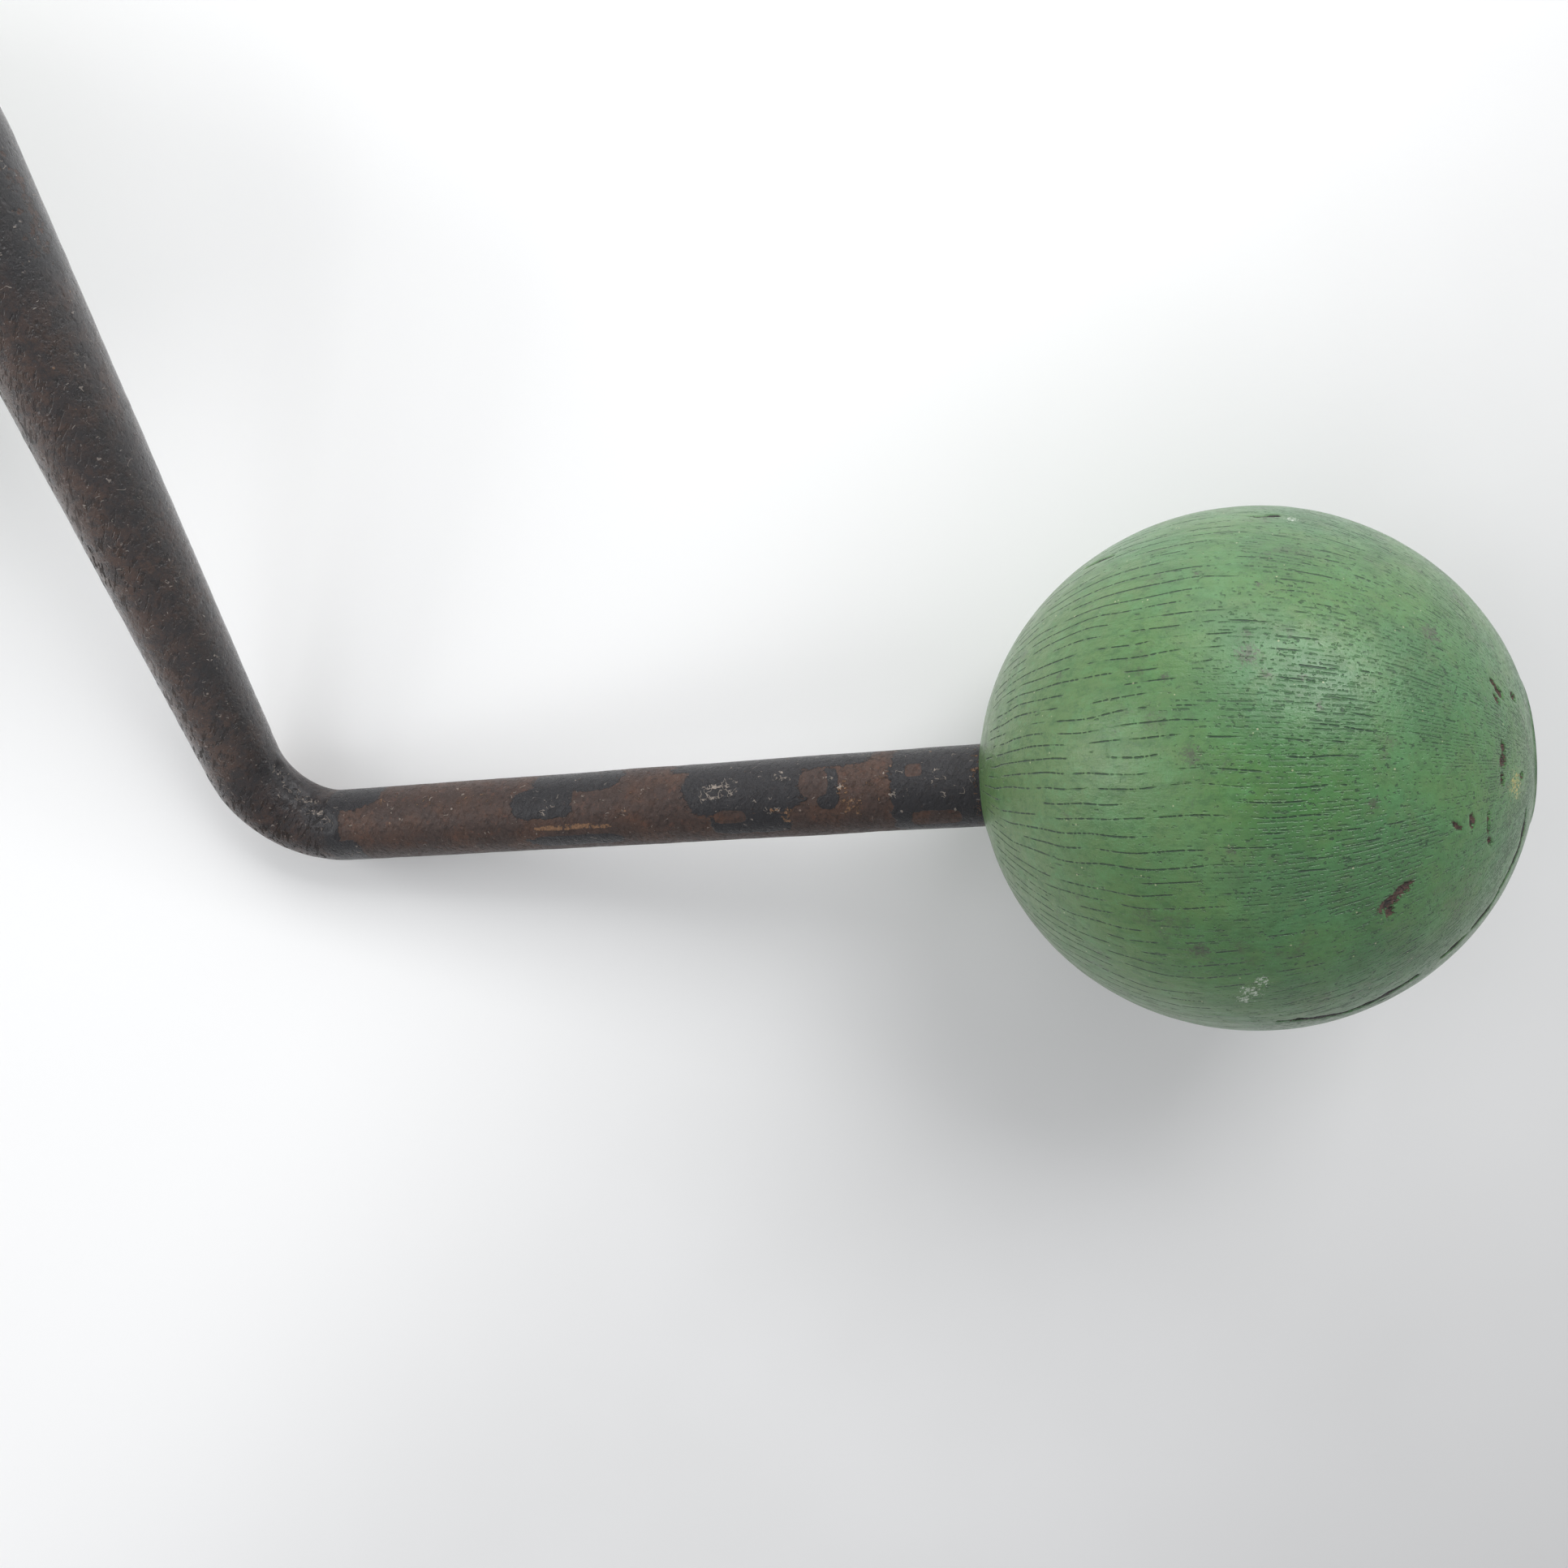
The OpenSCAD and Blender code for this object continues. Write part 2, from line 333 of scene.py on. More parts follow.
class Graph:
    """Short names for making and joining the nodes of a material or world."""

    def __init__(self, owner):
        owner.use_nodes = True
        self.owner = owner
        self.tree = owner.node_tree

    def put(self, socket, value):
        """Links a socket, or sets a constant."""
        if isinstance(value, bpy.types.NodeSocket):
            self.tree.links.new(value, socket)
        elif socket.type == "RGBA":
            socket.default_value = (*value, 1) if len(value) == 3 else value
        else:
            socket.default_value = value

    def node(self, kind, inputs, **settings):
        """A new node. inputs has its sockets' values by name or number."""
        made = self.tree.nodes.new("ShaderNode" + kind)
        for key, value in settings.items():
            setattr(made, key, value)
        for key, value in inputs.items():
            self.put(made.inputs[key], value)
        return made

    def coordinates(self, matrix, turn=(0, 0, 0)):
        """Place in millimetres in a local frame, which then turns about its own origin."""
        local = matrix.inverted()
        place = self.node("TexCoord", {}).outputs["Object"]
        inputs = {"Vector": place, "Location": local.translation, "Rotation": local.to_euler()}
        place = self.node("Mapping", inputs).outputs[0]
        inputs = {"Vector": place, "Rotation": turn, "Scale": (1 / MM,) * 3}
        return self.node("Mapping", inputs).outputs[0]

    def scaled(self, vector, scale):
        return self.node("VectorMath", {0: vector, 1: scale}, operation="MULTIPLY").outputs[0]

    def added(self, a, b):
        return self.node("VectorMath", {0: a, 1: b}, operation="ADD").outputs[0]

    def noise(self, vector, scale, detail=3, roughness=0.55):
        settings = {"Vector": vector, "Scale": scale, "Detail": detail, "Roughness": roughness}
        return self.node("TexNoise", settings).outputs["Fac"]

    def cells(self, vector, scale):
        """Voronoi distance and random colour of the nearest cell."""
        made = self.node("TexVoronoi", {"Vector": vector, "Scale": scale})
        return made.outputs["Distance"], made.outputs["Color"]

    def math(self, operation, *values, clamp=False):
        made = self.node("Math", dict(enumerate(values)), operation=operation, use_clamp=clamp)
        return made.outputs[0]

    def times(self, a, b):
        return self.math("MULTIPLY", a, b)

    def plus(self, a, b):
        return self.math("ADD", a, b)

    def minus(self, a, b):
        return self.math("SUBTRACT", a, b)

    def larger(self, a, b):
        return self.math("MAXIMUM", a, b)

    def weighted(self, *terms):
        """Sum of (value, weight) terms."""
        total = self.times(*terms[0])
        for value, weight in terms[1:]:
            total = self.plus(total, self.times(value, weight))
        return total

    def centred(self, noise, gain):
        """A noise about zero instead of 0.5, times gain."""
        return self.times(self.minus(noise, 0.5), gain)

    def length(self, x, y):
        return self.math("SQRT", self.weighted((x, x), (y, y)))

    def step(self, value, low, high, bottom=0.0, top=1.0):
        """Smooth step of value from low to high. low may be above high."""
        if low > high:
            low, high, bottom, top = high, low, top, bottom
        ramp = {"Value": value, "From Min": low, "From Max": high, "To Min": bottom, "To Max": top}
        return self.node("MapRange", ramp, interpolation_type="SMOOTHSTEP").outputs["Result"]

    def mix(self, factor, a, b):
        """Colour a turning into colour b."""
        return self.node("Mix", {0: factor, 6: a, 7: b}, data_type="RGBA").outputs[2]

    def layered(self, colour, *layers):
        """A colour under layers of (mask, colour), the last one on top."""
        for mask, tone in layers:
            colour = self.mix(mask, colour, tone)
        return colour

    def blend(self, factor, a, b):
        """Number a turning into number b."""
        return self.node("Mix", {0: factor, 2: a, 3: b}, data_type="FLOAT").outputs[0]

    def split(self, vector):
        return tuple(self.node("SeparateXYZ", {0: vector}).outputs)

    def joined(self, x, y, z):
        return self.node("CombineXYZ", {0: x, 1: y, 2: z}).outputs[0]

    def attribute(self, name):
        """A number stored on the mesh's points."""
        return self.node("Attribute", {}, attribute_name=name).outputs["Fac"]

    def bump(self, height, depth):
        """Normal from a height of 0 to 1, which stands for depth millimetres."""
        return self.node("Bump", {"Distance": depth * MM, "Height": height}).outputs[0]

    def finish(self, colour, roughness, normal, **others):
        """Sets the surface. others are its remaining inputs, with _ for each space in a name."""
        others.update(Base_Color=colour, Roughness=roughness, Normal=normal, Coat_Normal=normal)
        for key, value in others.items():
            self.put(self.tree.nodes["Principled BSDF"].inputs[key.replace("_", " ")], value)
        return self.owner


def new_material(name):
    return Graph(bpy.data.materials.new(name))


# ---- materials

GREEN = (0.075, 0.190, 0.049)
GREEN_WARM = (0.100, 0.180, 0.058)
GREEN_COOL = (0.054, 0.184, 0.062)
GREEN_DEEP = (0.038, 0.118, 0.032)
GREEN_PALE = (0.085, 0.235, 0.085)
PORE = (0.010, 0.034, 0.018)
STAIN = (0.058, 0.076, 0.043)
BARE_WOOD = (0.085, 0.045, 0.032)
BARE_WOOD_DARK = (0.014, 0.010, 0.008)
BLACKENED = (0.010, 0.008, 0.006)
DUST = (0.40, 0.42, 0.25)
SCUFF = (0.50, 0.56, 0.47)
SCUFF_YELLOWED = (0.42, 0.35, 0.09)

CHARCOAL = (0.015, 0.0145, 0.017)
RUST = (0.048, 0.030, 0.025)
RUST_WARM = (0.068, 0.036, 0.025)
RUST_DARK = (0.024, 0.016, 0.014)
RUST_RED = (0.105, 0.045, 0.028)
OCHRE = (0.24, 0.135, 0.075)
# Pale lint, also the colour of the painted highlight along the handle bend's crease.
LINT_AND_HIGHLIGHT = (0.34, 0.29, 0.25)

LEATHER = (0.150, 0.066, 0.028)
LEATHER_DARK = (0.070, 0.032, 0.016)
LEATHER_CREASE = (0.045, 0.020, 0.010)

STEEL = (0.34, 0.33, 0.32)
STEEL_STAIN = (0.080, 0.048, 0.034)
BRASS = (0.66, 0.47, 0.20)
BRASS_STAIN = (0.16, 0.09, 0.04)


def pore_lines(g, place, polar, turn, wave, count, half_width, run, bead, density, seed):
    """Mask of dark pore lines: count of them round the ball, along the grain, in runs and beads.

    polar and turn say where a point is round the grain's own axis: polar in radians, turn in whole
    turns. wave is how many lines wide the grain wanders. half_width, run and bead are lengths."""
    wobble = g.noise(g.added(g.scaled(place, (0.10, 0.10, 0.06)), (seed, 0.0, 0.0)), 1.0, detail=2)
    lane = g.plus(g.times(turn, float(count)), g.times(wobble, wave))
    number = g.math("FLOOR", lane)
    apart = g.times(g.math("SINE", polar), 2 * math.pi * BALL_R / count)
    across = g.times(g.math("ABSOLUTE", g.minus(g.math("FRACT", lane), 0.5)), apart)
    along = g.times(polar, BALL_R)
    runs = g.noise(g.joined(g.math("DIVIDE", along, run), g.times(number, 7.31), seed), 1.0, detail=2)
    beads = g.noise(g.joined(g.math("DIVIDE", along, bead), g.times(number, 3.17), seed), 1.0, detail=1)
    line = g.step(g.minus(g.times(beads, half_width * 2), across), -0.03, 0.04)
    shown = g.step(g.plus(runs, density), 0.98, 1.06)
    return g.times(g.times(line, shown), g.step(beads, 0.34, 0.46, 0.12, 1.0))


def wood_pores(g, place, wave):
    """All the pores: long lines towards the rod, dense short ones in clumps towards the far pole."""
    x, y, z = g.split(place)
    polar = g.math("ARCTAN2", g.length(x, y), z)
    turn = g.times(g.math("ARCTAN2", x, y), 1 / (2 * math.pi))
    clumps = g.noise(place, 0.17, detail=3, roughness=0.6)
    far_side = g.step(z, -7.0, 9.0)
    poles = g.plus(g.step(z, -16.5, -20.5, 0.0, 0.22), g.step(z, 12.0, 19.0, 0.0, 0.16))
    long_density = g.minus(g.minus(0.57, g.times(far_side, 0.10)), poles)
    short_density = g.weighted((far_side, 0.12), (clumps, 0.64))
    fine_density = g.weighted((far_side, 0.24), (clumps, 0.52))
    layers = (
        (122, 0.051, 3.6, 0.31, long_density, 3.7),
        (211, 0.058, 0.9, 0.28, short_density, 11.3),
        (340, 0.050, 0.5, 0.22, fine_density, 23.9),
    )
    long, short, fine = (pore_lines(g, place, polar, turn, wave, *layer) for layer in layers)
    slit_place = g.scaled(g.added(place, (3.0, 17.0, 5.0)), (2.6, 2.6, 1.5))
    slits = g.step(g.noise(slit_place, 1.0, detail=3, roughness=0.6), 0.63, 0.69)
    slits = g.times(slits, g.blend(far_side, 0.10, 0.75))
    dark = g.larger(long, g.times(short, 0.6))
    dark = g.larger(dark, g.larger(g.times(fine, 0.35), slits))
    return dark, clumps, far_side


def green_paint(name, matrix, tilt, wave):
    """Semi-gloss green paint over open-pored wood, with stains, chips, cracks and scuffs."""
    g = new_material(name)
    place = g.coordinates(matrix, (tilt, 0, 0))
    pores, clumps, far_side = wood_pores(g, place, wave)
    _, _, along_axis = g.split(g.coordinates(matrix))
    streak = g.noise(g.scaled(place, (1.0, 1.0, 0.16)), 1.0, detail=4, roughness=0.65)
    fine = g.noise(place, 4.0, detail=4, roughness=0.7)
    blotch = g.noise(g.added(place, (31.0, 7.0, 3.0)), 0.24, detail=5, roughness=0.72)
    stain = g.times(g.step(blotch, 0.55, 0.68), g.step(fine, 0.42, 0.62, 0.15, 0.75))
    knot = g.plus(g.attribute("stain"), g.centred(fine, 2.4))
    scuffed = g.plus(g.attribute("scuff"), g.centred(fine, 2.6))
    scuff_tone = g.mix(g.step(along_axis, 8.0, 14.0), SCUFF, SCUFF_YELLOWED)
    ragged = g.centred(fine, 1.9)
    bare = g.step(g.plus(g.attribute("chip"), ragged), 0.42, 0.5)
    crack = g.step(g.plus(g.attribute("crack"), g.times(ragged, 0.35)), 0.3, 0.6)
    colour = g.layered(
        green_tones(g, place, along_axis, streak, clumps, far_side),
        (g.larger(stain, g.step(knot, 0.45, 0.95, 0.0, 0.9)), STAIN),
        (g.times(pores, g.step(fine, 0.25, 0.55, 0.62, 0.92)), PORE),
        (dust(g, place), DUST),
        (g.step(scuffed, 0.62, 0.85, 0.0, 0.85), scuff_tone),
        (bare, g.mix(g.step(fine, 0.42, 0.58), BARE_WOOD_DARK, BARE_WOOD)),
        (crack, BLACKENED),
    )
    worn = g.larger(g.larger(pores, bare), crack)
    roughness = g.blend(worn, g.step(streak, 0.3, 0.7, 0.34, 0.50), 0.8)
    height = g.weighted((pores, -0.9), (streak, 0.55), (fine, 0.34), (bare, -0.9))
    return g.finish(colour, roughness, g.bump(height, 0.12), Coat_Weight=0.48, Coat_Roughness=0.20)


def green_tones(g, place, along_axis, streak, clumps, far_side):
    """The paint's colour: warmer towards the rod, partly its own tone and partly painted warm bounce
    light from the floor, and cooler and more mottled towards the far pole.
    """
    broad = g.noise(place, 0.09, detail=3)
    mottle = g.noise(g.scaled(place, (1.5, 1.5, 0.9)), 1.0, detail=4, roughness=0.75)
    patch = g.noise(g.added(place, (13.0, 2.0, 9.0)), 0.45, detail=4, roughness=0.7)
    return g.layered(
        GREEN,
        (g.step(broad, 0.38, 0.66), GREEN_COOL),
        # Warmer towards the rod: partly the paint's tone and partly painted warm bounce light from the
        # floor.
        (g.step(along_axis, 2.0, -22.0, 0.0, 0.90), GREEN_WARM),
        (g.step(patch, 0.48, 0.68, 0.0, 0.55), GREEN_WARM),
        (g.step(patch, 0.50, 0.34, 0.0, 0.40), GREEN_PALE),
        (g.step(streak, 0.42, 0.75, 0.0, 0.40), GREEN_DEEP),
        (g.step(mottle, 0.48, 0.66, 0.0, 0.70), GREEN_DEEP),
        (g.step(mottle, 0.46, 0.32, 0.0, 0.45), GREEN_PALE),
        (g.times(g.step(clumps, 0.42, 0.62, 0.10, 0.50), far_side), GREEN_DEEP),
    )


def dust(g, place):
    """Mask of pale specks, mostly where the pores are."""
    specks, cell = g.cells(place, 1.3)
    pick, _, _ = g.split(cell)
    here = g.step(g.noise(place, 0.35), 0.50, 0.58)
    return g.times(g.times(g.step(specks, 0.12, 0.08), g.step(pick, 0.55, 0.6)), g.times(here, 0.7))


def fibres(g, place, scale, width):
    """Mask of thin curly hairs, along the contour lines of a noise."""
    contour = g.noise(place, scale, detail=1)
    return g.step(g.math("ABSOLUTE", g.minus(contour, 0.5)), width, width * 0.4)


def rod_paint():
    """Satin charcoal paint that is worn through to brown rust, with specks, scratches and lint, and
    pale flecks along the handle bend's crease that are partly scuffs and partly a painted highlight.
    """
    g = new_material("rod_paint")
    place = g.coordinates(ROD_FRAME)
    broad = g.noise(place, 0.25, detail=4, roughness=0.6)
    fine = g.noise(place, 2.0, detail=5, roughness=0.72)
    grit = g.noise(place, 5.0, detail=3, roughness=0.65)
    red = g.noise(place, 1.1, detail=5, roughness=0.75)
    ragged = g.centred(g.noise(place, 0.8, detail=5, roughness=0.62), 0.8)
    ragged = g.plus(ragged, g.centred(fine, 0.5))
    painted = g.step(g.plus(g.attribute("paint"), ragged), -0.03, 0.03)
    rust = g.layered(
        RUST,
        (g.step(broad, 0.42, 0.62), RUST_WARM),
        (g.step(fine, 0.44, 0.66, 0.0, 0.8), RUST_DARK),
        (g.step(red, 0.54, 0.66, 0.0, 0.5), RUST_RED),
    )
    blotchy = g.noise(g.added(place, (5.0, 1.0, 7.0)), 0.55, detail=5, roughness=0.7)
    thin = g.times(g.attribute("thin"), g.step(fine, 0.35, 0.62, 0.30, 1.0))
    thin = g.times(thin, g.step(blotchy, 0.42, 0.60, 0.55, 1.9))
    paint = g.layered(CHARCOAL, (thin, RUST_WARM), (g.step(fine, 0.50, 0.72, 0.0, 0.45), RUST_DARK))
    specked, marked = rod_specks(g, place, fine, grit, g.mix(painted, rust, paint))
    dent = rod_ticks(g)
    colour = g.mix(g.times(dent, 0.85), specked, BLACKENED)
    roughness = g.blend(painted, g.step(fine, 0.3, 0.7, 0.40, 0.56), g.step(grit, 0.3, 0.7, 0.26, 0.40))
    roughness = g.blend(g.larger(marked, dent), roughness, 0.85)
    pits, _ = g.cells(place, 1.1)
    height = g.weighted((painted, 0.45), (fine, 0.75), (grit, 0.30), (g.step(pits, 0.0, 0.30), 0.4),
                        (dent, -1.7), (marked, 0.5))
    coat = g.times(g.blend(painted, 0.75, 1.0), g.attribute("gloss"))
    coat = g.math("SUBTRACT", coat, dent, clamp=True)
    return g.finish(colour, roughness, g.bump(height, 0.14), Coat_Weight=coat, Coat_Roughness=0.16,
                    Sheen_Weight=0.04, Sheen_Roughness=0.35, Specular_IOR_Level=0.28)


def rod_specks(g, place, fine, grit, colour):
    """Adds ochre flecks, pale specks and curly lint to a colour; along the handle bend's crease the
    pale curls are partly scuffs and partly a painted highlight. Also gives the mask of them all.
    """
    ochre = g.step(g.plus(g.attribute("ochre"), g.centred(fine, 3.0)), 0.58, 0.75)
    specks, cell = g.cells(place, 0.55)
    pick, tint, _ = g.split(cell)
    speck = g.times(g.step(specks, 0.085, 0.05), g.step(pick, 0.60, 0.64))
    aside = g.added(place, (4.0, 8.0, 1.0))
    tangle = g.larger(fibres(g, place, 0.9, 0.026), fibres(g, aside, 1.4, 0.028))
    thinned = g.centred(g.noise(place, 1.6, detail=2), 2.6)
    hairs_and_highlight = g.times(tangle, g.step(g.plus(g.attribute("lint_and_highlight"), thinned), 0.42, 0.60))
    here = g.step(g.noise(g.added(place, (9.0, 5.0, 2.0)), 1.0, detail=1), 0.66, 0.69)
    stray = g.times(g.times(fibres(g, place, 0.8, 0.018), here), 0.55)
    pale = g.larger(g.times(hairs_and_highlight, g.step(grit, 0.35, 0.6, 0.35, 0.85)), stray)
    colour = g.layered(
        colour,
        (g.times(ochre, g.step(grit, 0.3, 0.6, 0.45, 0.9)), OCHRE),
        (g.times(speck, 0.55), g.mix(g.step(tint, 0.4, 0.6), OCHRE, LINT_AND_HIGHLIGHT)),
        (pale, LINT_AND_HIGHLIGHT),
    )
    return colour, g.larger(ochre, pale)


def rod_ticks(g):
    """Mask of short scratches that cross the arm."""
    place = g.coordinates(ROD_FRAME, (0.3, 0.2, 0.6))
    ticks = g.noise(g.scaled(place, (2.5, 0.7, 1.8)), 1.0, detail=2)
    return g.times(g.step(ticks, 0.55, 0.59), g.attribute("scratched"))


def plain_metal(name, colour, stain, roughness, stained):
    """Turned or drawn metal with fine scratches and some staining."""
    g = new_material(name)
    place = g.coordinates(KNOB_FRAME)
    blotch = g.noise(place, 0.30, detail=6, roughness=0.72)
    grain = g.noise(place, 3.0, detail=4, roughness=0.7)
    scratch = g.noise(g.scaled(place, (0.7, 0.7, 7.0)), 1.0, detail=4, roughness=0.7)
    spread = g.plus(blotch, g.centred(grain, 0.25))
    dirt = g.step(spread, 0.40, 0.66, 0.05, stained)
    tone = g.mix(dirt, g.mix(g.step(scratch, 0.3, 0.7), colour, [c * 0.7 for c in colour]), stain)
    rough_here = g.blend(dirt, g.step(scratch, 0.3, 0.7, roughness - 0.08, roughness + 0.1), 0.75)
    height = g.plus(scratch, g.times(spread, 1.2))
    return g.finish(tone, rough_here, g.bump(height, 0.04), Metallic=g.blend(dirt, 1.0, 0.25))


def pad_leather():
    """Matte brown leather with fine creases."""
    g = new_material("pad_leather")
    place = g.coordinates(CUP_FRAME)
    cell, _ = g.cells(place, 1.6)
    wear = g.noise(place, 0.25, detail=4)
    colour = g.layered(
        LEATHER,
        (g.step(wear, 0.35, 0.7), LEATHER_DARK),
        (g.step(cell, 0.35, 0.1, 0.0, 0.35), LEATHER_CREASE),
    )
    normal = g.bump(g.plus(cell, g.times(wear, 0.6)), 0.12)
    return g.finish(colour, g.step(wear, 0.3, 0.7, 0.6, 0.8), normal)


# ---- rod

# Distance between rings, size of the rounded edges, where the rings go on after such an edge, and
# what is left between two rings where the radius jumps.
RING_GAP = 0.3
EDGE = 0.3
AFTER_EDGE = 0.4
SEAM = 0.02
OUTSIDE = ("leg", "handle_bend", "arm", "shank_bend", "shank")


def straight_rings(start, length, direction, name, radius, end_radius=None, gap=RING_GAP):
    """Rings (x, y, direction, radius, name) along a straight stretch, both ends included."""
    count = max(1, round(length / gap))
    growth = 0 if end_radius is None else end_radius - radius
    rings = []
    for i in range(count + 1):
        t = i / count
        x = start[0] + math.cos(direction) * length * t
        y = start[1] + math.sin(direction) * length * t
        rings.append((x, y, direction, radius + growth * t, name))
    return rings


def bend_rings(centre, bend_r, first, turn, name, radius):
    """Rings round a bend, without its ends. first is the angle from the centre to the bend's start."""
    count = round(bend_r * abs(turn) / RING_GAP)
    rings = []
    for i in range(1, count):
        a = first + turn * i / count
        x, y = centre[0] + bend_r * math.cos(a), centre[1] + bend_r * math.sin(a)
        rings.append((x, y, a + math.copysign(math.pi / 2, turn), radius, name))
    return rings


def rod_rings():
    """Rings along the rod in its own plane, from the spindle's end to the spigot's end."""
    turn = math.pi - ARM_ANGLE
    leg_r, shank_r = LEG_D / 2, SHANK_D / 2
    handle_cut = HANDLE_BEND_R * math.tan(turn / 2)
    shank_cut = SHANK_BEND_R * math.tan(turn / 2)
    along_arm = Vector((math.cos(ARM_ANGLE), math.sin(ARM_ANGLE)))
    corner = along_arm * ARM_LENGTH
    bend_to = corner.x - shank_cut
    handle_centre = (handle_cut, HANDLE_BEND_R)
    shank_centre = (bend_to, corner.y - SHANK_BEND_R)
    shoulder = LEG_LENGTH + SHOULDER_AT
    tip = LEG_LENGTH + SPINDLE_END
    arm = ARM_LENGTH - handle_cut - shank_cut
    shank = SHANK_LENGTH - shank_cut - AFTER_EDGE
    leg_from = shoulder - AFTER_EDGE
    end = corner.x - SHANK_LENGTH
    back = math.pi
    return [
        *straight_rings((tip, 0), tip - shoulder - SEAM, back, "spindle", SPINDLE_D / 2, gap=2.0),
        *straight_rings((shoulder, 0), EDGE, back, "shoulder", leg_r - EDGE, leg_r),
        *straight_rings((leg_from, 0), leg_from - handle_cut, back, "leg", leg_r),
        *bend_rings(handle_centre, HANDLE_BEND_R, -math.pi / 2, -turn, "handle_bend", leg_r),
        *straight_rings(along_arm * handle_cut, arm, ARM_ANGLE, "arm", leg_r, shank_r),
        *bend_rings(shank_centre, SHANK_BEND_R, math.pi / 2 - turn, turn, "shank_bend", shank_r),
        *straight_rings((bend_to, corner.y), shank, back, "shank", shank_r),
        *straight_rings((end + EDGE, corner.y), EDGE, back, "shank", shank_r, shank_r - EDGE),
        *straight_rings((end - SEAM, corner.y), SPIGOT_LENGTH, back, "spigot", SPIGOT_D / 2, gap=2.0),
    ]


def crank_rod(look):
    """The whole bent bar as one swept surface, with its wear marks stored on the points."""
    rings = rod_rings()
    segments = 112
    phi = circle(segments)[None, :, None]
    x, y, direction, radius, name = (np.array(column) for column in zip(*rings))
    centre = np.stack([x, y, np.zeros_like(x)], 1)
    left = np.stack([-np.sin(direction), np.cos(direction), np.zeros_like(x)], 1)
    normal = left[:, None, :] * np.cos(phi) + np.array([0, 0, 1.0]) * np.sin(phi)
    point = (centre[:, None, :] + normal * radius[:, None, None]).reshape(-1, 3)
    normal = normal.reshape(-1, 3)
    names = np.repeat(name, segments)
    lift = 0.030 * rough(point, 9.0, 5) + 0.016 * rough(point, 1.6, 9) - 0.03
    lift -= 0.05 * np.clip(rough(point, 2.6, 21) - 0.55, 0, 1)
    lift += np.where(names == "arm", 0.018 * rough(point, 1.0, 43), 0)
    lift += bend_marks(point, normal)
    point = point + normal * np.where(np.isin(names, OUTSIDE), lift, 0.0)[:, None]
    faces = tube_faces(len(rings), segments)
    marks = rod_marks(point, normal, names)
    piece = new_piece("crank_rod", "worn", point, faces, ROD_FRAME, "crank", look, marks)
    screw_hole = 8.4
    cut(piece, rod_cutter(SCREW_R, SPINDLE_END - screw_hole, SPINDLE_END + 1, KNOB_FRAME))


# Line of the crease pressed into the inside of the handle bend, in the rod's frame.
CREASE = np.array([(4.5, 8.2, 0.2), (5.2, 6.2, 0.7), (6.9, 4.4, 1.4), (8.8, 3.2, 2.4), (9.7, 2.5, 3.2)])


def distance_to_line(point, line):
    """Distance from each point to a line of straight pieces."""
    best = np.full(len(point), 1e9)
    for a, b in zip(line[:-1], line[1:]):
        t = np.clip((point - a) @ (b - a) / ((b - a) @ (b - a)), 0, 1)
        best = np.minimum(best, np.linalg.norm(point - a - t[:, None] * (b - a), axis=1))
    return best


def bend_marks(point, normal):
    """Change in radius where the handle bend was pressed: a flat outside and a creased inside."""
    outside = np.array([5.0, 0.5, 0.0])
    d = np.linalg.norm(point - outside, axis=1)
    flat = -0.25 * bell(d, 5.0) * np.clip(-normal[:, 1], 0, 1)
    d = distance_to_line(point, CREASE) + 0.25 * rough(point, 1.2, 51)
    dent = -0.30 * bell(d, 0.55) + 0.10 * bell(d - 1.3, 0.5)
    return flat + dent


# Patches of charcoal paint left on the leg: middle station and clock angle, half length in
# millimetres and half width in degrees. The clock angle is 0 at the side and 90 on top.
PAINT_PATCHES = [
    (35.6, 66, 3.5, 24), (39.0, 25, 5.0, 26), (38.8, 131, 5.2, 12), (57.5, 62, 6.2, 40),
    (58.0, 118, 4.2, 18), (60.0, 8, 10.5, 30), (66.2, 70, 1.1, 30), (77.5, 80, 5.2, 110),
    (8.4, 76, 2.8, 36), (9.6, 138, 3.6, 34), (11.0, 22, 4.6, 34),
]
# The same for rust that shows through a patch.
RUST_PATCHES = [(64.8, 62, 1.4, 20), (56.0, 104, 1.6, 10), (76.4, 126, 2.4, 14), (74.6, 52, 0.8, 10)]
# Ochre specks and pale lint have a strength as well: below 1 only their densest flecks show.
OCHRE_MARKS = [
    (38.8, 105, 5.4, 5, 0.85), (21.0, 46, 6.0, 12, 0.30), (27.5, 50, 3.0, 10, 0.35),
    (68.4, 100, 1.4, 16, 0.50), (67.6, 70, 0.7, 14, 0.50), (61.8, 112, 0.6, 9, 0.75),
    (61.2, 98, 1.4, 6, 0.55), (45.5, 62, 4.0, 20, 0.25), (70.0, 60, 2.5, 40, 0.22),
    (33.0, 20, 10, 12, 0.15),
]
LINT_MARKS = [
    (54.4, 66, 1.7, 13, 0.85), (56.2, 60, 1.0, 16, 0.5), (60.4, 98, 1.2, 7, 0.65),
    (61.6, 45, 1.6, 9, 0.4), (67.4, 72, 0.5, 10, 0.5), (72.6, 85, 0.6, 8, 0.5),
    (77.4, 86, 0.5, 9, 0.7), (72.5, 45, 1.2, 11, 0.35), (36.2, 72, 1.0, 14, 0.3),
    (43.5, 86, 1.4, 10, 0.3), (39.6, 55, 1.2, 12, 0.25), (76.5, 62, 1.2, 12, 0.3),
]


def angle_between(a, b):
    """Smallest turn from one angle to the other, in degrees."""
    return np.abs((a - b + 180) % 360 - 180)


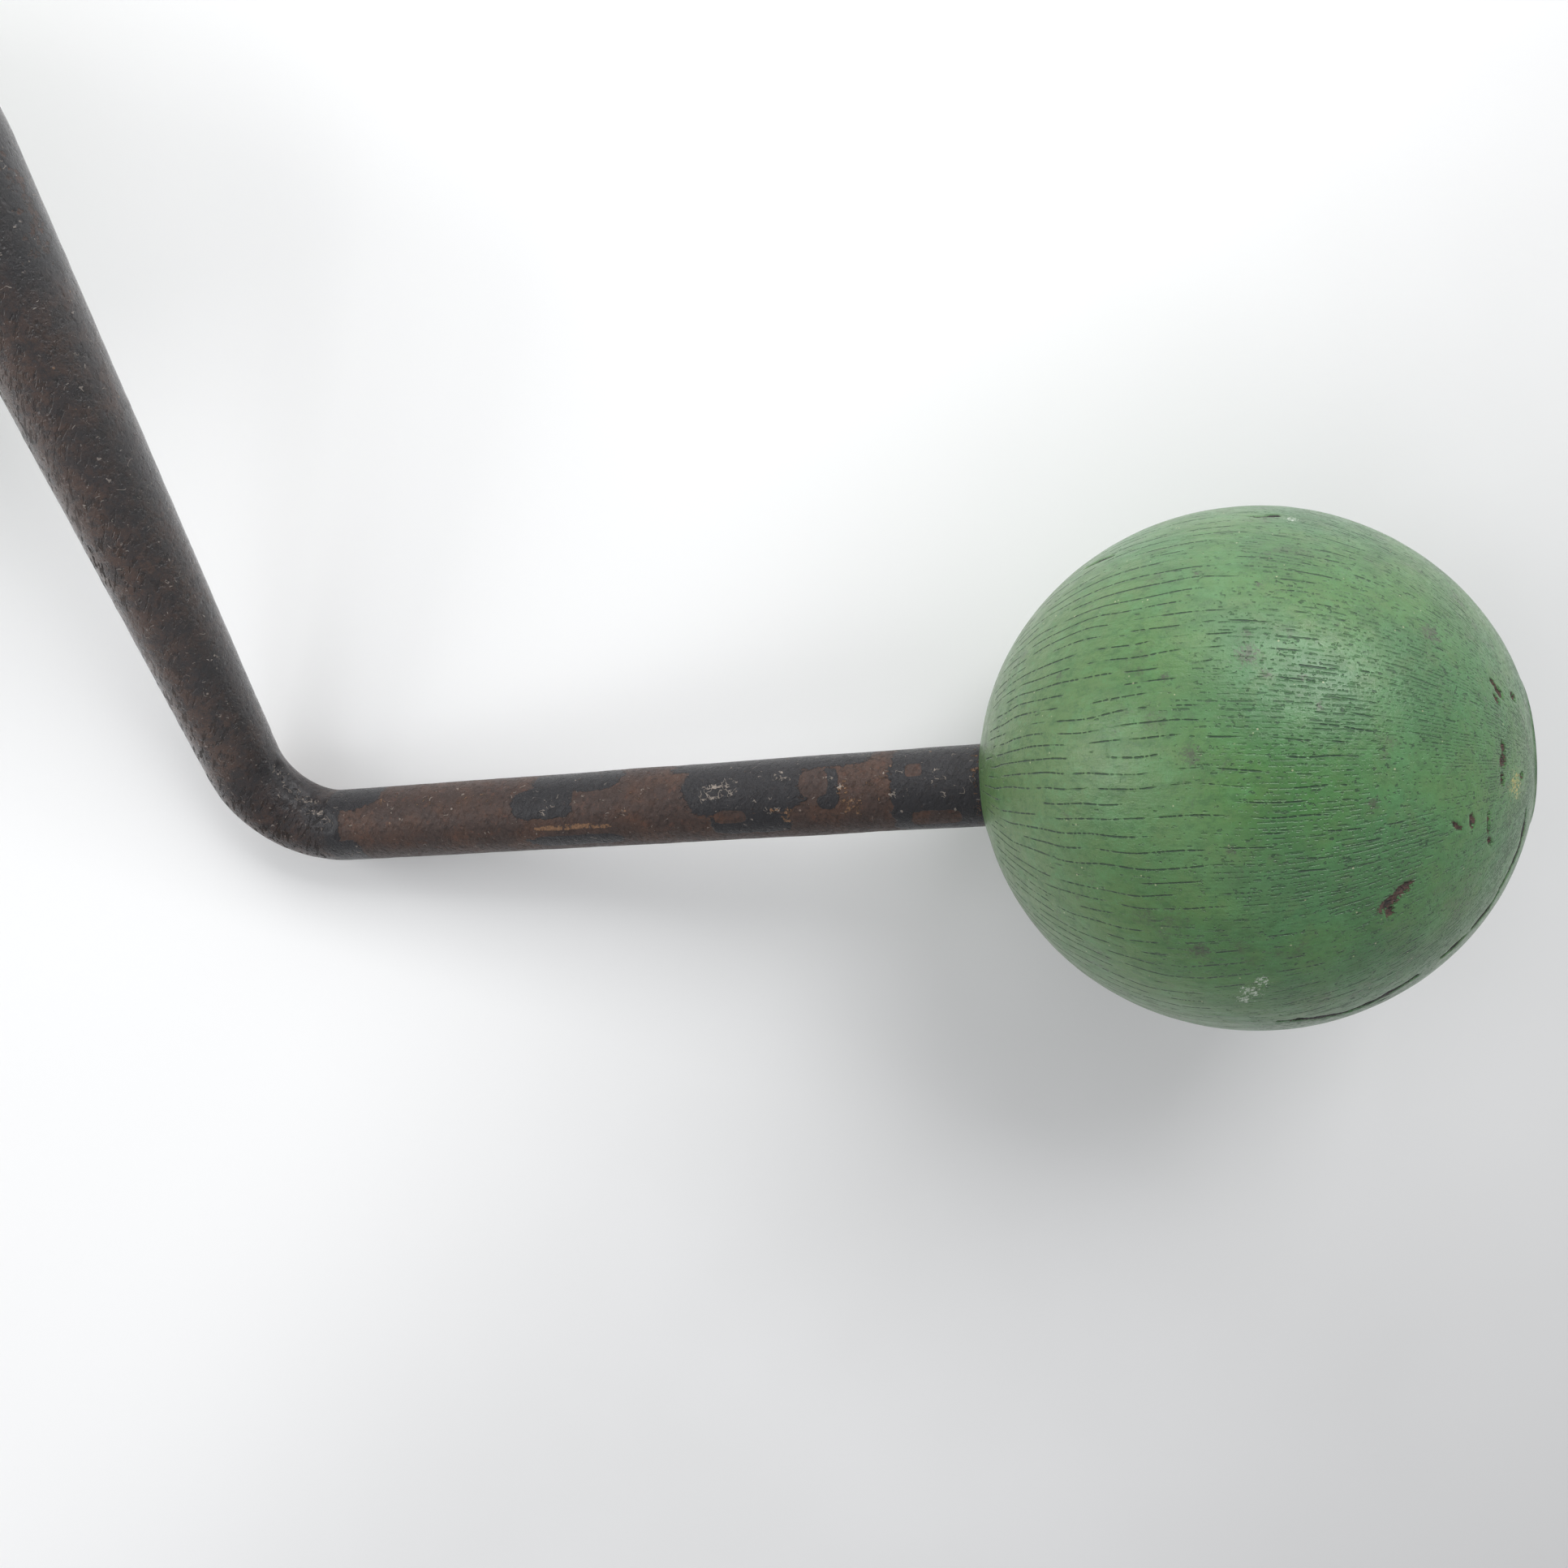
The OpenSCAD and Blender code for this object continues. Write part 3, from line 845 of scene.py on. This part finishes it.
def patch_field(station, clock, patches):
    """Highest of the patches' fields: 1 in the middle of one, 0 on its edge, negative outside."""
    best = np.full(len(station), -1.0)
    for at, angle, half_length, half_width, *strength in patches:
        along = np.abs(station - at) / half_length
        around = angle_between(clock, angle) / half_width
        field = 1 - (along**4 + around**4) ** 0.25
        best = np.maximum(best, np.minimum(field * 3, strength[0]) if strength else field)
    return best


# Clock angle of the middle of what the picture shows of the leg. More than 85 degrees away from it
# the paint is left to chance.
SEEN_FROM = 85
# Directions round the arm, in degrees from the leg's axis: where its paint has rubbed thinnest and
# where it is most scratched.
ARM_BROWN = 104
ARM_SCRATCHED = 140


def rod_marks(point, normal, names):
    """Wear fields of the rod's points. Where paint is above 0 the charcoal is still there."""
    roll = math.atan2(PLANE_NORMAL.dot(SIDE), ARMWARD.dot(SIDE))
    clock = (np.degrees(np.arctan2(normal[:, 2], normal[:, 1])) - math.degrees(roll)) % 360
    station = point[:, 0]
    spread = rough(point, 7.0, 31)
    leg = names == "leg"
    hidden = angle_between(clock, SEEN_FROM) > 85
    paint = np.maximum(patch_field(station, clock, PAINT_PATCHES), -0.6)
    paint = np.minimum(paint, -1.4 * patch_field(station, clock, RUST_PATCHES))
    paint = np.clip(paint * 1.5, -0.5, 0.5)
    paint = np.where(hidden, 0.25 * spread + 0.1, paint)
    paint = np.where(leg, paint, 0.30 + 0.25 * spread)
    crease = distance_to_line(point, CREASE)
    arm_side = np.degrees(np.arctan2(normal[:, 2], normal[:, 0]))
    brown_side = 0.18 + 1.1 * bell(arm_side - ARM_BROWN, 42) + 0.25 * spread
    at_bend = np.clip(crease / 9.0, 0.05, 0.9) * np.clip(0.8 + 0.5 * spread, 0, 1)
    thin = np.where(leg, 0.0, np.where(names == "handle_bend", at_bend, np.clip(brown_side, 0, 1)))
    gloss = 0.2 + 0.75 * np.clip((point[:, 1] - 4.0) / 8.0, 0, 1)
    scratched = 0.15 + 0.85 * bell(arm_side % 360 - ARM_SCRATCHED, 65)
    scratched = np.where(leg, 0.1, scratched * np.clip(0.75 + 0.5 * spread, 0.2, 1))
    ochre = np.clip(patch_field(station, clock, OCHRE_MARKS), 0, 1) * leg
    junction = np.clip(1 - np.abs(station - (LEG_LENGTH - BALL_R)) / 0.8, 0, 1) * 0.5
    ochre = np.maximum(ochre, junction * leg)
    lint_and_highlight = np.clip(patch_field(station, clock, LINT_MARKS), 0, 1) * leg
    # Pale flecks along the crease inside the handle bend: partly scuffs and partly a painted highlight.
    lint_and_highlight = np.maximum(lint_and_highlight, 0.7 * bell(crease, 0.7))
    return dict(paint=paint, thin=thin, gloss=gloss, scratched=scratched, ochre=ochre, lint_and_highlight=lint_and_highlight)


# ---- knob

CRACK_DEPTH = 0.3
# Drying cracks in the ball as (polar angle from the far pole, azimuth) points in degrees.
CRACKS = [
    [(87, 144.5), (83, 145), (77, 146.5), (73, 147.5), (68.4, 146.2), (62.5, 144), (58.5, 142.5)],
    [(53, 140.5), (50, 139.5), (46.5, 138)],
    [(45, 137.5), (41, 136.5), (37.5, 132)],
    [(36.5, 130), (33, 126), (29.7, 121.5), (28, 113), (27.5, 104)],
    [(73, 147.8), (68, 149.5), (64, 148.5)],
    [(120.5, 13), (117.5, 14.5), (114, 17)],
    [(88, 15.5), (84.5, 17), (81, 16)],
    [(112, 258), (100, 256), (88, 257), (76, 254), (66, 255)],
    [(60, 320), (70, 322), (82, 321), (90, 323)],
]
# Chips as (polar angle, azimuth, half length, half width, direction). The direction is 0 along the
# meridian towards the rod and 90 round the axis.
CHIPS = [
    (64.3, 107.4, 0.8, 0.36, 30), (67.0, 109.8, 0.9, 0.42, 30), (66.9, 112.0, 0.4, 0.30, 70),
    (39.4, 58.4, 0.34, 0.18, 146), (37.4, 60.8, 0.62, 0.30, 146), (31.3, 59.3, 0.40, 0.35, 0),
    (38.8, 63.6, 0.45, 0.14, 140), (38.3, 78.3, 0.42, 0.24, 100), (38.6, 82.5, 0.52, 0.34, 80),
    (39.2, 87.9, 0.45, 0.18, 95), (30.8, 89.1, 0.34, 0.24, 60), (52.5, 96.4, 0.60, 0.17, 135),
    (48.7, 96.5, 0.60, 0.20, 95), (44.1, 98.6, 0.95, 0.09, 90), (43.3, 104.8, 0.42, 0.20, 120),
    (83.0, 144.8, 0.60, 0.30, 0), (52, 265, 1.5, 0.9, 20), (95, 310, 1.4, 0.5, 60),
    (70, 200, 0.8, 0.4, 40), (118, 170, 0.6, 0.3, 100),
]
# Brown stains and knots, and pale scuffs, as (polar angle, azimuth, size).
STAINS = [
    (97.4, 37.6, 0.4), (86.7, 42.8, 0.45), (89.5, 54.4, 0.4), (89.8, 58.6, 1.3), (86.9, 62.6, 0.6),
    (80.6, 63.7, 0.45), (78.3, 69.3, 0.5), (104.9, 60.9, 0.5), (100.8, 76.7, 1.1), (54.5, 50.6, 1.2),
    (101.3, 117.6, 1.3), (127.4, 52.5, 0.5), (95, 95, 0.6), (70, 88, 0.7), (110, 220, 1.4),
    (75, 290, 1.2),
]
SCUFFS = [
    (92.4, 129.3, 1.2), (90.4, 125.9, 0.9), (93.6, 132.5, 0.9), (33.9, 91.5, 1.5), (120, 240, 1.5),
    (78, 18, 0.8),
]


def on_ball(polar, azimuth):
    """Unit vectors in the knob's frame for angles in degrees."""
    t, a = np.radians(polar), np.radians(azimuth)
    return np.stack([np.sin(t) * np.cos(a), np.sin(t) * np.sin(a), np.cos(t)], -1)


def crack_fields(unit):
    """Depth in millimetres and darkness of the drying cracks."""
    place = unit * BALL_R
    wobble = 0.22 * rough(place, 2.2, 61)
    ragged = 1 + 0.5 * rough(place, 0.9, 67)
    depth, dark = np.zeros(len(unit)), np.zeros(len(unit))
    for path in CRACKS:
        line = on_ball(*np.array(path).T)
        d = np.abs(distance_to_line(unit, line) * BALL_R + wobble)
        taper = np.min([np.linalg.norm(unit - line[i], axis=1) for i in (0, -1)], axis=0) * BALL_R
        width = (0.14 + 0.24 * np.clip(taper / 2.5, 0, 1)) * np.clip(ragged, 0.3, 1.7)
        depth += CRACK_DEPTH * bell(d, width)
        dark = np.maximum(dark, np.exp(-((d / width) ** 2) * 0.5))
    return np.clip(depth, 0, CRACK_DEPTH), dark


def chip_field(unit):
    """1 in the middle of each chip, falling off to 0 round it."""
    chip = np.zeros(len(unit))
    for polar, azimuth, length, width, direction in CHIPS:
        centre = on_ball(polar, azimuth)
        round_axis = np.cross([0, 0, 1.0], centre)
        round_axis /= np.linalg.norm(round_axis)
        to_rod = np.cross(round_axis, centre)
        turn = math.radians(direction)
        away = (unit - centre) * BALL_R
        u = away @ (to_rod * math.cos(turn) + round_axis * math.sin(turn))
        beside = np.sum(away**2, axis=1) - u**2
        chip = np.maximum(chip, np.exp(-((u / length) ** 2 + beside / width**2) * 0.7))
    return chip


def spot_field(unit, spots, strength):
    """The strength in the middle of each round spot, falling off to 0 round it."""
    field = np.zeros(len(unit))
    for polar, azimuth, size in spots:
        d = np.linalg.norm(unit - on_ball(polar, azimuth), axis=1) * BALL_R
        field = np.maximum(field, strength * bell(d, size))
    return field


def ball_profile():
    """Closed profile of the ball, from the far pole's counterbore round to the rod's bore."""
    bore, wide, floor = BALL_BORE_R, COUNTERBORE_R, COUNTERBORE_AT
    far_z = math.sqrt(BALL_R**2 - wide**2)
    near_z = -math.sqrt(BALL_R**2 - bore**2)
    start = math.degrees(math.atan2(far_z, wide)) - 0.6
    end = math.degrees(math.atan2(near_z, bore)) + 0.8
    outside = arc((0, 0), BALL_R, start, end, 330)
    inside = [
        (bore + 0.08, near_z + 0.02), (bore, near_z + 0.15),
        *stretch((bore, near_z + 0.5), (bore, floor), 3.0),
        (bore, floor), (wide, floor),
        *stretch((wide, floor + 0.5), (wide, far_z - 0.4), 3.0),
        (wide, far_z - 0.15), (wide + 0.06, far_z - 0.03),
    ]
    return outside + inside, len(outside)


def ball_knob(look):
    """The turned and painted ball, slightly out of round, with cracks and chips cut into it."""
    profile, outside_count = ball_profile()
    segments = 640
    vertices, faces = lathe(profile, segments)
    outer = np.arange(len(vertices)) < outside_count * segments
    unit = vertices / np.linalg.norm(vertices, axis=1)[:, None]
    depth, dark = crack_fields(unit)
    chip = chip_field(unit)
    lift = 0.045 * rough(vertices, 14.0, 3) + 0.012 * rough(vertices, 2.2, 7) - 0.075
    lift -= depth + 0.22 * np.clip((chip - 0.35) / 0.3, 0, 1)
    near_bore = np.clip((np.hypot(vertices[:, 0], vertices[:, 1]) - BALL_BORE_R) / 1.5, 0, 1)
    lift *= np.where(vertices[:, 2] < 0, near_bore, 1)
    vertices = vertices + unit * np.where(outer, lift, 0)[:, None]
    scuff = spot_field(unit, SCUFFS, 0.8)
    stain = spot_field(unit, STAINS, 0.9)
    marks = dict(chip=chip * outer, crack=dark * outer, scuff=scuff * outer, stain=stain * outer)
    new_piece("ball_knob", "painted", vertices, faces, KNOB_FRAME, "knob", look, marks)


def knob_end_plug(look):
    """The wooden plug that closes the counterbore, with a slight flat on the pole."""
    top = BALL_R - POLE_FLAT
    edge = COUNTERBORE_R - 0.03
    crown_r = BALL_R - 0.08
    rim = math.degrees(math.asin(edge / crown_r))
    crown_from = math.degrees(math.acos(top / crown_r))
    crown = arc((0, 0), crown_r, 90 - crown_from, 90 - rim, 24)
    flat = stretch((0, top), crown[0], 0.3)
    side = stretch((edge, crown[-1][1] - 0.1), (edge, PLUG_AT), 1.0)
    base = [*stretch((edge - 0.2, PLUG_AT), (0.5, PLUG_AT), 1.0), (0, PLUG_AT)]
    vertices, faces = lathe(flat + crown + side + base, 160)
    vertices[:, 2] += np.where(vertices[:, 2] > 20, 0.02 * rough(vertices, 2.5, 17), 0)
    ring = np.clip((np.hypot(vertices[:, 0], vertices[:, 1]) - edge + 0.7) / 0.7, 0, 1)
    marks = dict(chip=ring * 0.45, crack=ring * 0, scuff=ring * 0.2, stain=ring * 0.4)
    new_piece("knob_end_plug", "painted", vertices, faces, KNOB_FRAME, "knob", look, marks)


def knob_hardware(brass, steel):
    """Bushes, washers and screw inside the ball."""
    inner_from = SHOULDER_AT + 1.0
    inner_bush = ring_profile(BUSH_BORE_R, BALL_BORE_R - 0.01, inner_from, inner_from + 10)
    outer_bush = [(BUSH_BORE_R, 0.2), (3.25, 0.0), (4.2, 0.0), (4.39, 0.2), (4.39, 9.0), (6.3, 9.02),
                  (6.5, 9.2), (6.5, 10.0), (6.3, 10.2), (3.25, 10.2), (BUSH_BORE_R, 10.0)]
    for node, profile in (("knob_inner_bush", inner_bush), ("knob_outer_bush", outer_bush)):
        turned(node, profile, KNOB_FRAME, "knob", brass)
    thrust_washer = ring_profile(3.0, 4.2, SHOULDER_AT, SHOULDER_AT + 0.8, 0.1)
    end_washer = ring_profile(2.15, 6.0, SPINDLE_END, SCREW_HEAD_FROM, 0.15)
    for node, profile in (("knob_thrust_washer", thrust_washer), ("knob_end_washer", end_washer)):
        turned(node, profile, KNOB_FRAME, "crank", steel)
    screw = [(0, 1.6), (1.7, 1.6), (SCREW_R, 1.9), (SCREW_R, SCREW_HEAD_FROM), (3.8, 11.62),
             (SCREW_HEAD_R, 11.8), (SCREW_HEAD_R, SCREW_HEAD_TO),
             *arc((0, 8.7), 5.5, 46, 86, 8), (0, 14.2)]
    piece = turned("knob_screw", screw, KNOB_FRAME, "crank", steel)
    cut(piece, box_cutter((-6, -0.6, SCREW_HEAD_TO - 0.1), (6, 0.6, 16), KNOB_FRAME))


# ---- cup


def cup_profile():
    """Closed profile of the cup from the neck's end, over the outside and down the key bore."""
    shoulder_r = 10.0
    rim_r = 2.0
    groove_r = 0.7
    neck_top = -CUP_LENGTH + NECK_LENGTH
    bore, floor, spigot_r = KEY_BORE_R, -KEY_BORE_DEPTH, SPIGOT_D / 2
    return [
        (NECK_R - 0.4, -CUP_LENGTH), (NECK_R, -CUP_LENGTH + 0.4), (NECK_R, neck_top - 0.2),
        (NECK_R + 0.3, neck_top),
        *arc((CUP_R - shoulder_r, neck_top + shoulder_r), shoulder_r, -88, -2, 24),
        *stretch((CUP_R, -25.5), (CUP_R, GROOVE_AT - groove_r), 1.0),
        *arc((CUP_R, GROOVE_AT), groove_r, 270, 90, 9),
        *stretch((CUP_R, GROOVE_AT + groove_r + 0.3), (CUP_R, -rim_r - 0.4), 1.0),
        *arc((CUP_R - rim_r, -rim_r), rim_r, 0, 90, 10),
        (bore + 1.3, 0.0), (bore + 1.0, -0.1), (bore, -MOUTH_CHAMFER),
        *stretch((bore, -2.0), (bore, floor), 1.0),
        (bore, floor), (PAD_R + 0.3, floor), (PAD_R, floor - 0.3),
        (PAD_R, PAD_FROM), (HUB_R, PAD_FROM), (HUB_R, HUB_FROM), (spigot_r, HUB_FROM),
        (spigot_r, -CUP_LENGTH),
    ]


def cup_body(look):
    """The turned wooden cup with its slot, worn at the rim and at the slot's edges."""
    vertices, faces = lathe(cup_profile(), 256)
    piece = new_piece("cup_body", "painted", vertices, faces, CUP_FRAME, "crank", look)
    slot_cutter = box_cutter((-SLOT_W / 2, -40, -SLOT_DEPTH), (SLOT_W / 2, 40, 5), CUP_FRAME)
    cut(piece, slot_cutter, rod_cutter(CROSS_PIN_D / 2, -20, 20, PIN_FRAME))
    bevel(piece, 0.45, 60)
    worn_edges(piece.data)


def worn_edges(mesh):
    """Stores how worn the cup's paint is: most at the rim and along the slot."""
    co = np.zeros(len(mesh.vertices) * 3, np.float32)
    mesh.vertices.foreach_get("co", co)
    inverse = np.array(CUP_FRAME.inverted())
    p = (co.reshape(-1, 3) @ inverse[:3, :3].T + inverse[:3, 3]) / MM
    radius = np.hypot(p[:, 0], p[:, 1])
    rim = bell(p[:, 2], 0.9) * bell(radius - CUP_R + 0.6, 1.2)
    near_slot = bell(np.abs(p[:, 0]) - SLOT_W / 2, 0.45)
    near_slot *= (np.abs(p[:, 1]) > 14) * (p[:, 2] > -22)
    outer = bell(radius - CUP_R, 0.7)
    patchy = 0.5 + 0.6 * rough(p, 3.0, 71)
    chip = np.clip(np.maximum(rim, near_slot * np.maximum(outer, 0.5)) * patchy * 0.95, 0, 1)
    store(mesh, dict(chip=chip, crack=chip * 0, scuff=chip * 0, stain=chip * 0.8))


def cup_hardware(steel, leather):
    """Ferrule, washers, nut, cross pin and pad of the cup."""
    end = -CUP_LENGTH
    outer = NECK_R + FERRULE_T
    ferrule = ring_profile(NECK_R, outer, end, end + FERRULE_LENGTH, 0.35)
    piece = turned("cup_ferrule", ferrule, CUP_FRAME, "crank", steel, 160)
    cut(piece, rod_cutter(CROSS_PIN_D / 2 + 0.02, -20, 20, PIN_FRAME))
    shoulder_washer = ring_profile(CUP_WASHER_BORE_R, 9.0, end - 1.5, end, 0.3)
    inner_washer = ring_profile(CUP_WASHER_BORE_R, 8.5, HUB_FROM, NUT_FROM, 0.2)
    for node, profile in (("cup_shoulder_washer", shoulder_washer), ("cup_inner_washer", inner_washer)):
        turned(node, profile, CUP_FRAME, "crank", steel)
    half = outer + 0.2
    pin_r = CROSS_PIN_D / 2
    pin = [(0, -half), *arc((0.9, 0.6 - half), 0.6, -90, 0, 4),
           *stretch((pin_r, 1 - half), (pin_r, half - 1), 2.0),
           *arc((0.9, half - 0.6), 0.6, 0, 90, 4), (0, half)]
    turned("cup_cross_pin", pin, PIN_FRAME, "crank", steel, 48)
    hex_nut(steel)
    cup_pad(leather)


def cup_pad(leather):
    """Leather disc on the cup's floor, with an uneven top."""
    top = -KEY_BORE_DEPTH
    profile = [(0, PAD_FROM), (PAD_R - 0.2, PAD_FROM), (PAD_R, PAD_FROM + 0.2), (PAD_R, top - 0.25),
               *arc((PAD_R - 0.4, top - 0.4), 0.4, 22, 90, 4),
               *stretch((PAD_R - 0.8, top), (0.4, top), 0.8), (0, top)]
    vertices, faces = lathe(profile, 128)
    on_top = vertices[:, 2] > top - 0.2
    vertices[:, 2] += np.where(on_top, 0.06 * rough(vertices, 3.0, 41) - 0.08, 0)
    new_piece("cup_pad", "leather", vertices, faces, CUP_FRAME, "crank", leather)


def hex_nut(steel):
    """Hexagon nut with chamfered corners, inside the cup's hub."""
    segments = 96
    angle = circle(segments)
    sixth = math.pi / 3
    corner_r = NUT_ACROSS_FLATS / 2 / math.cos(sixth / 2)
    to_flat = NUT_ACROSS_FLATS / 2 / np.cos((angle + sixth / 2) % sixth - sixth / 2)
    rings = []
    chamfer_r, bore_r = corner_r - 0.7, SPIGOT_D / 2
    for height, limit in ((NUT_FROM, chamfer_r), (NUT_FROM + 0.5, corner_r), (NUT_TO - 0.5, corner_r),
                          (NUT_TO, chamfer_r), (NUT_TO, bore_r), (NUT_FROM, bore_r)):
        r = np.minimum(to_flat, limit)
        rings.append(np.stack([r * np.cos(angle), r * np.sin(angle), np.full(segments, height)], 1))
    faces = grid_faces(len(rings), segments, closed_rings=True)
    vertices = np.concatenate(rings)
    piece = new_piece("cup_nut", "hex", vertices, faces, CUP_FRAME, "crank", steel)
    shade(piece.data, False)


# ---- stage

CAMERA_FROM_KNOB = (-30.45, 22.02, 119.54)
CAMERA_ANGLES = (-9.65, 4.24, -6.46)
LENS = 29.81
FLOOR_HALF_M = 4.0
PAPER = (0.77, 0.77, 0.77)
PAPER_PALE = (0.80, 0.80, 0.803)
# The floor's white is painted light and its grey is painted shade.
PAINTED_LIGHT_WHITE = (0.95, 0.95, 0.95)
PAINTED_SHADE_GREY = (0.51, 0.51, 0.51)

# Lights as name, direction from the knob, distance, size and power, in metres and watts.
LIGHTS = [
    ("window", (0.33, 0.68, 0.65), 0.6, 0.28, 1.9),
    ("window_right", (0.74, 0.56, 0.40), 0.6, 0.16, 0.24),
    ("softbox_up", (-0.15, 0.92, 0.36), 0.45, 0.22, 0.5),
    ("softbox_left", (-0.92, 0.25, 0.36), 0.5, 0.26, 0.75),
]
BRIGHT_SIDE = (1.0, 0.7, 0.2)
DARK_OVERHEAD = (0.10, 0.04, 0.99)


def camera():
    data = bpy.data.cameras.new("camera")
    data.lens = LENS
    data.clip_start = 0.005
    data.clip_end = 20
    piece = new_object("camera", data)
    piece.location = KNOB + Vector(CAMERA_FROM_KNOB) * MM
    piece.rotation_euler = Euler([math.radians(a) for a in CAMERA_ANGLES])
    bpy.context.scene.camera = piece


def floor():
    """A wide pale sheet that the winder lies on, with painted light and shade: white at the left and
    far out, which is painted light, and greyer between, which is painted shade.
    """
    half = FLOOR_HALF_M
    mesh = bpy.data.meshes.new("floor")
    corners = [(-half, -half, 0), (half, -half, 0), (half, half, 0), (-half, half, 0)]
    mesh.from_pydata(corners, [], [(0, 1, 2, 3)])
    g = new_material("floor")
    place = g.coordinates(Matrix())
    tone = g.step(g.noise(place, 0.02, detail=3), 0.3, 0.7)
    x, y, _ = g.split(place)
    across = g.minus(x, g.times(y, 0.9))
    colour = g.layered(
        PAPER,
        (tone, PAPER_PALE),
        # Painted light: white at the left.
        (g.step(across, 115.0, 25.0), PAINTED_LIGHT_WHITE),
        # Painted shade: greyer away from the lamps.
        (g.step(across, 90.0, 330.0, 0.0, 0.9), PAINTED_SHADE_GREY),
        # Painted light: white again far out, where the lamps do not reach.
        (g.step(g.length(x, y), 230.0, 520.0), PAINTED_LIGHT_WHITE),
    )
    mesh.materials.append(g.finish(colour, 0.6, g.bump(g.noise(place, 0.8), 0.01)))
    new_object("floor", mesh)


def area_light(name, direction, distance, size, power):
    """A square soft light that shines on the knob from a direction."""
    data = bpy.data.lights.new(name, "AREA")
    data.shape = "SQUARE"
    data.size = size
    data.energy = power
    piece = new_object(name, data)
    aim = Vector(direction).normalized()
    piece.location = KNOB + aim * distance
    piece.rotation_euler = aim.to_track_quat("Z", "Y").to_euler()


def studio_world():
    """Soft white surroundings: brighter at one side and above, with a dark patch overhead."""
    world = bpy.data.worlds.new("studio")
    g = Graph(world)
    direction = g.node("TexCoord", {}).outputs["Generated"]

    def facing(axis, low, high, bottom, top):
        inputs = {0: direction, 1: Vector(axis).normalized()}
        dot = g.node("VectorMath", inputs, operation="DOT_PRODUCT").outputs["Value"]
        return g.step(dot, low, high, bottom, top)

    side = facing(BRIGHT_SIDE, 0.1, 0.95, 0.36, 0.62)
    overhead = facing((0, 0, 1), 0.5, 0.9, 0.0, 1.2)
    dark_patch = facing(DARK_OVERHEAD, 0.72, 0.94, 1.0, 0.06)
    background = g.tree.nodes["Background"].inputs
    g.put(background["Strength"], g.times(g.plus(side, overhead), dark_patch))
    g.put(background["Color"], (0.97, 0.98, 1.0))
    bpy.context.scene.world = world


def main():
    camera()
    floor()
    studio_world()
    for light in LIGHTS:
        area_light(*light)
    bpy.context.scene.view_settings.view_transform = "Standard"
    green = green_paint("green_paint", KNOB_FRAME, GRAIN_TILT, 2.4), "green_paint"
    cup_green = green_paint("cup_paint", CUP_FRAME, 0.0, 0.8), "green_paint"
    steel = plain_metal("plain_steel", STEEL, STEEL_STAIN, 0.38, 0.85)
    brass = plain_metal("bush_brass", BRASS, BRASS_STAIN, 0.3, 0.4)
    crank_rod((rod_paint(), "rod_paint"))
    ball_knob(green)
    knob_end_plug(green)
    knob_hardware((brass, "bush_brass"), (steel, "plain_steel"))
    cup_body(cup_green)
    cup_hardware((steel, "plain_steel"), (pad_leather(), "pad_leather"))


main()
